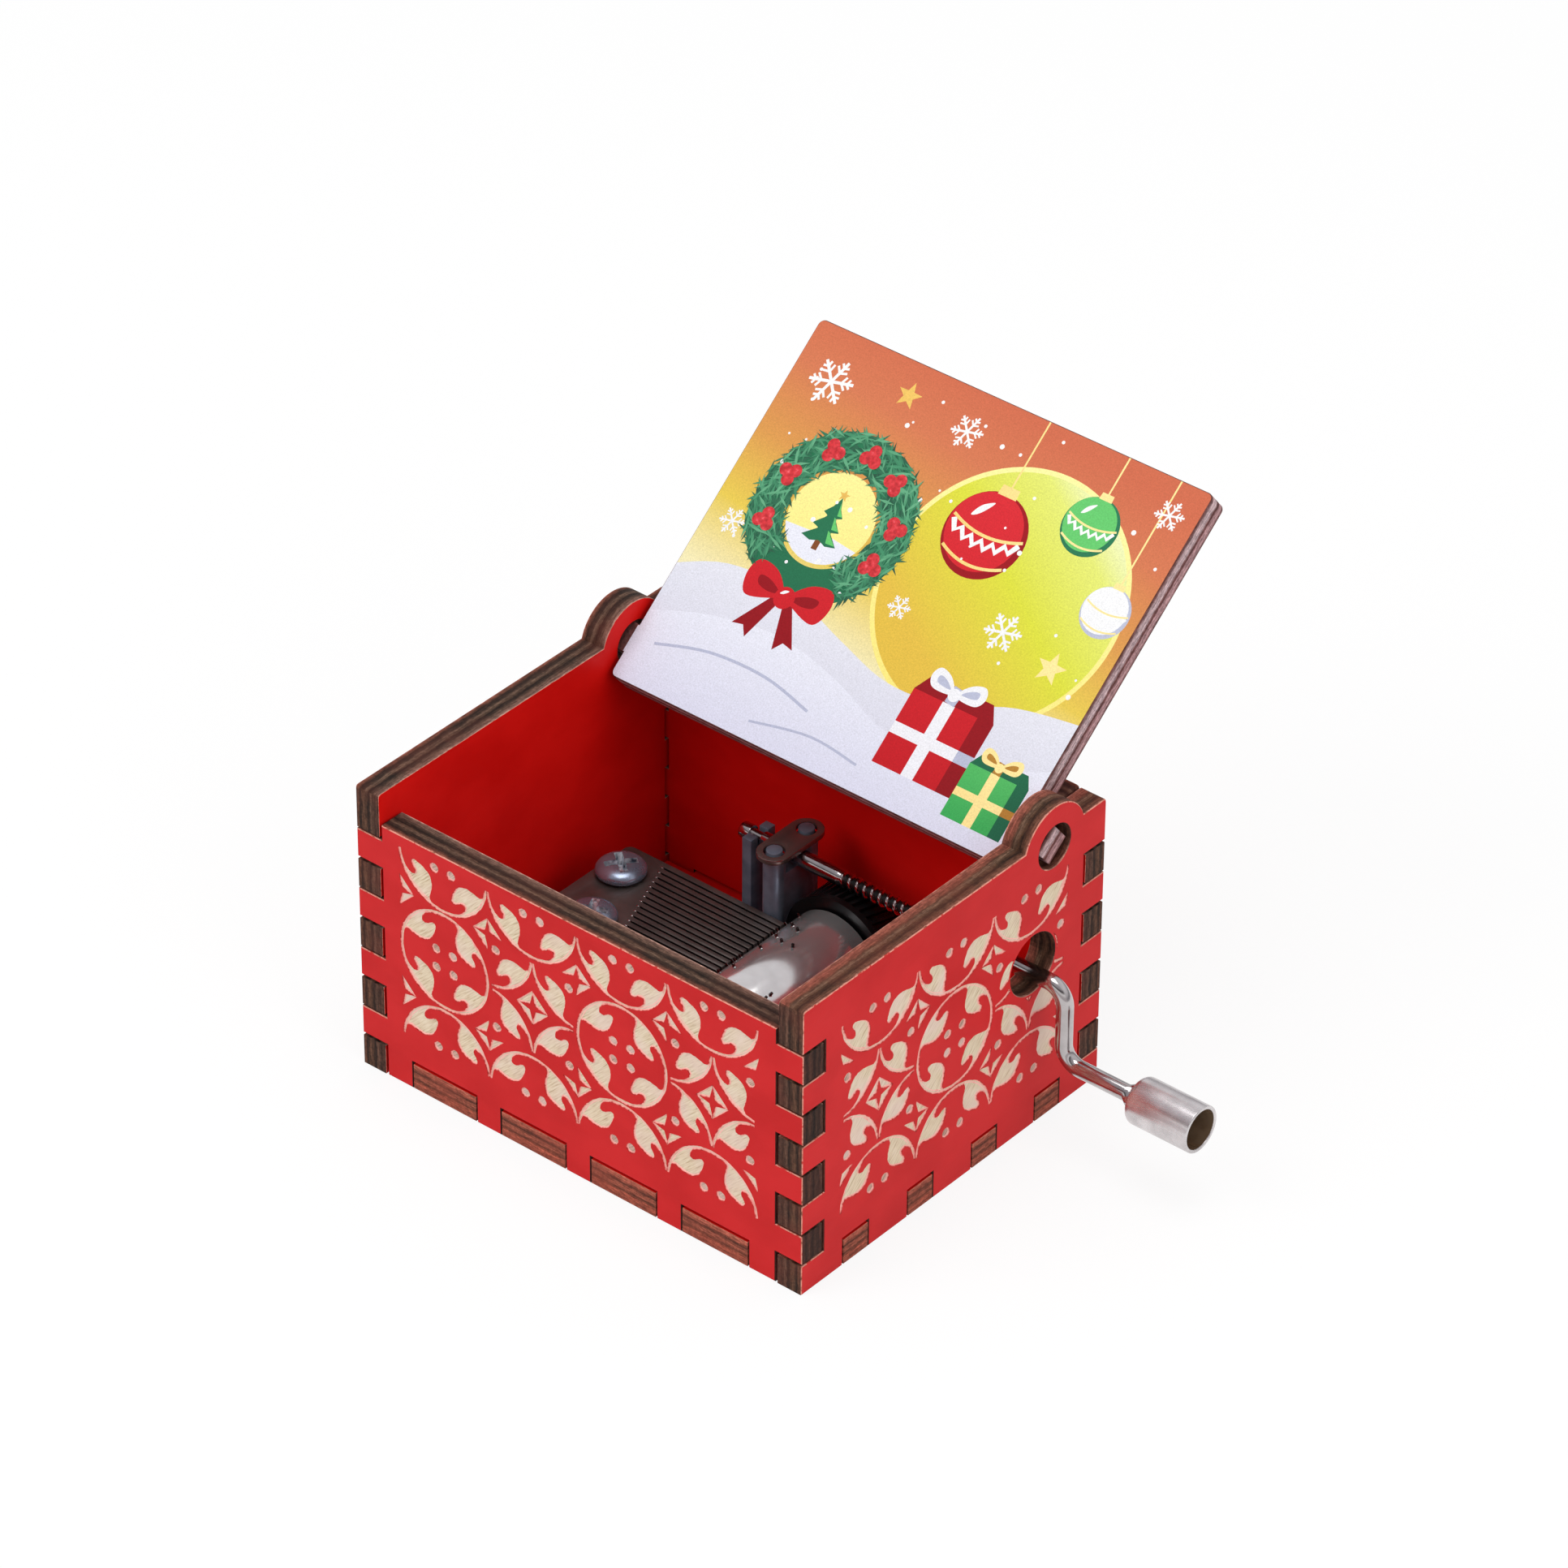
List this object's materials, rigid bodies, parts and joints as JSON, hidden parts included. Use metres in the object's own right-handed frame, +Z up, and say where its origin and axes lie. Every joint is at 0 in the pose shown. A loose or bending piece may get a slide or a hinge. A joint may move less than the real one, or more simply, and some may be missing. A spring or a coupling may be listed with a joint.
{
  "type": "hand-cranked music box",
  "caption": "Small finger-jointed plywood case with a hinged lid, holding a comb and pinned-cylinder music movement turned by a bent wire crank.",
  "frame": {"origin": "centre of the case's underside, on the surface it stands on", "axes": "+X to the right along the long front face, towards the crank; +Y from the front face to the back, where the lid is hinged; +Z up"},
  "size_m": [0.0871, 0.0764, 0.0645],
  "materials": {
    "painted_plywood": "red paint on thin plywood, laser-cut edges burnt brown, scroll leaves engraved through the paint",
    "bare_plywood": "thin plywood with laser-burnt edges",
    "printed_plywood": "winter print on thin plywood, satin",
    "cast_zinc": "slate grey as-cast zinc",
    "comb_steel": "dark ground spring steel",
    "nickel_plate": "bright nickel plate",
    "zinc_plated_steel": "bright zinc plate",
    "spring_steel": "brown tempered steel with a bright sheared edge",
    "lead": "dull soldered lead",
    "damper_film": "thin clear film",
    "brown_resin": "cast resin",
    "black_nylon": "moulded black nylon"
  },
  "bodies": {
    "case": {"front_panel": "painted_plywood", "back_panel": "painted_plywood", "left_panel": "painted_plywood", "right_panel": "painted_plywood", "bottom_panel": "bare_plywood", "bedplate": "cast_zinc", "bedplate_screw_1": "zinc_plated_steel", "bedplate_screw_2": "zinc_plated_steel", "bedplate_screw_3": "zinc_plated_steel", "comb": "comb_steel", "comb_screw_1": "zinc_plated_steel", "comb_screw_2": "zinc_plated_steel", "comb_weight_1": "lead", "comb_weight_2": "lead", "comb_weight_3": "lead", "comb_weight_4": "lead", "comb_weight_5": "lead", "comb_weight_6": "lead", "comb_weight_7": "lead", "comb_weight_8": "lead", "comb_weight_9": "lead", "tooth_damper_1": "damper_film", "tooth_damper_2": "damper_film", "tooth_damper_3": "damper_film", "tooth_damper_4": "damper_film", "tooth_damper_5": "damper_film", "tooth_damper_6": "damper_film", "tooth_damper_7": "damper_film", "tooth_damper_8": "damper_film", "tooth_damper_9": "damper_film", "shaft_retainer": "spring_steel"},
    "lid": {"lid": "printed_plywood"},
    "crank": {"crank_shaft": "nickel_plate"},
    "knob": {"crank_knob": "nickel_plate"},
    "cylinder": {"pinned_cylinder": "nickel_plate", "cylinder_core": "brown_resin", "cylinder_cap": "black_nylon", "cylinder_arbor": "zinc_plated_steel", "worm_gear": "black_nylon"}
  },
  "joints": [
    {"name": "lid_hinge", "type": "hinge", "parent": "case", "child": "lid", "pos_m": [0, 0.0167, 0.0365], "axis": [-1, 0, 0], "range_deg": [-141, 0]},
    {"name": "crank_turn", "type": "hinge", "parent": "case", "child": "crank", "pos_m": [0.03, 0.0142, 0.02054], "axis": [1, 0, 0], "continuous": true},
    {"name": "cylinder_turn", "type": "hinge", "parent": "case", "child": "cylinder", "pos_m": [0.00615, 0, 0.01245], "axis": [0, 1, 0], "continuous": true},
    {"name": "knob_spin", "type": "hinge", "parent": "crank", "child": "knob", "pos_m": [0.0464, 0.0142, 0.01074], "axis": [1, 0, 0], "continuous": true}
  ],
  "couplings": [
    {"joint": "cylinder_turn", "follows": "crank_turn", "ratio": -0.02381}
  ]
}
